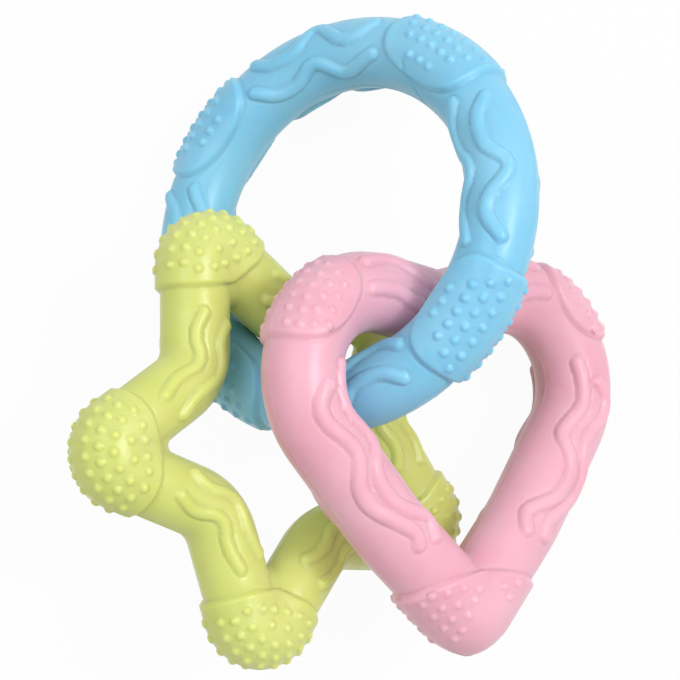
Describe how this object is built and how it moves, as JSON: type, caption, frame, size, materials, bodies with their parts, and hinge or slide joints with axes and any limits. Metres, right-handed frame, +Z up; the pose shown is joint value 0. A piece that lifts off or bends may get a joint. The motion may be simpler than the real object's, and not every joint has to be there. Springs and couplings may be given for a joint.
{
  "type": "dog chew toy",
  "caption": "Soft rubber chew toy of a round ring, a star ring and a heart ring, linked so that the star and heart slide and swing on the round ring.",
  "frame": {"origin": "on the ground, under the middle of the toy's box", "axes": "+Z up, +Y from the heart's tip towards the round ring, along the toy's length, +X from the star towards the heart"},
  "size_m": [0.1168, 0.1412, 0.0689],
  "materials": {
    "blue_rubber": "moulded, waxy semi-matt",
    "green_rubber": "moulded, waxy semi-matt",
    "pink_rubber": "moulded, waxy semi-matt"
  },
  "bodies": {
    "round": {"round_ring": "blue_rubber"},
    "star": {"star_ring": "green_rubber"},
    "heart": {"heart_ring": "pink_rubber"}
  },
  "joints": [
    {"name": "star_slides_round", "type": "hinge", "parent": "round", "child": "star", "pos_m": [-0.00228, 0.02473, 0.03213], "axis": [-0.528, 0.239, 0.8149], "range_deg": [-180, 3]},
    {"name": "heart_swings", "type": "hinge", "parent": "round", "child": "heart", "pos_m": [-0.00041, -0.0123, 0.0442], "axis": [0.848, 0.202, 0.49], "range_deg": [-48, 12]}
  ]
}
